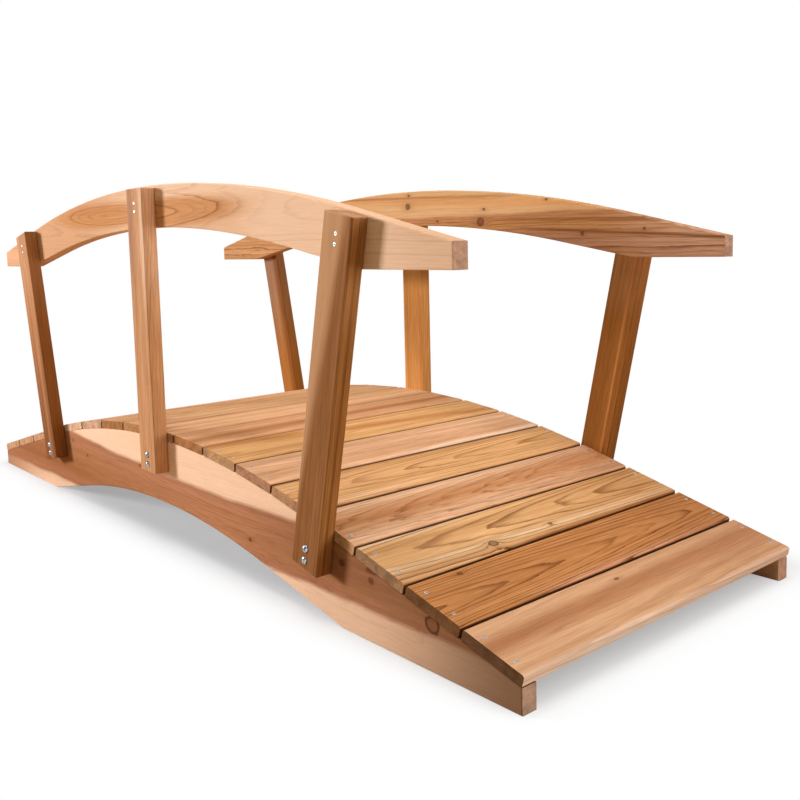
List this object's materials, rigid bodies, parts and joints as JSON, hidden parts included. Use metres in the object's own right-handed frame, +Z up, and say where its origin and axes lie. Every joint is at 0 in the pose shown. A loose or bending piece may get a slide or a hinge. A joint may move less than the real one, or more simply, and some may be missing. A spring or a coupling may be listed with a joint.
{
  "type": "moon bridge",
  "caption": "Arched cedar garden footbridge: planks on curved stringers with flat feet, and curved handrails on posts that fan out towards the ends.",
  "frame": {"origin": "on the ground, midway along and across the bridge", "axes": "+X along the walkway towards the front end, +Y across it to the right-hand side, +Z up"},
  "size_m": [2.4468, 0.936, 0.901],
  "materials": {
    "stringer_cedar": "planed, unfinished",
    "deck_cedar": "planed, unfinished",
    "post_cedar": "planed, unfinished",
    "rail_cedar": "planed, unfinished",
    "bolts": "bright zinc plate",
    "screws": "zinc plate"
  },
  "bodies": {
    "root": {"stringer_left": "stringer_cedar", "stringer_right": "stringer_cedar", "deck_plank_01": "deck_cedar", "deck_plank_02": "deck_cedar", "deck_plank_03": "deck_cedar", "deck_plank_04": "deck_cedar", "deck_plank_05": "deck_cedar", "deck_plank_06": "deck_cedar", "deck_plank_07": "deck_cedar", "deck_plank_08": "deck_cedar", "deck_plank_09": "deck_cedar", "deck_plank_10": "deck_cedar", "deck_plank_11": "deck_cedar", "deck_plank_12": "deck_cedar", "deck_plank_13": "deck_cedar", "deck_plank_14": "deck_cedar", "deck_plank_15": "deck_cedar", "deck_plank_16": "deck_cedar", "deck_plank_17": "deck_cedar", "post_left_front": "post_cedar", "post_left_middle": "post_cedar", "post_left_back": "post_cedar", "post_right_front": "post_cedar", "post_right_middle": "post_cedar", "post_right_back": "post_cedar", "handrail_left": "rail_cedar", "handrail_right": "rail_cedar"}
  },
  "joints": []
}
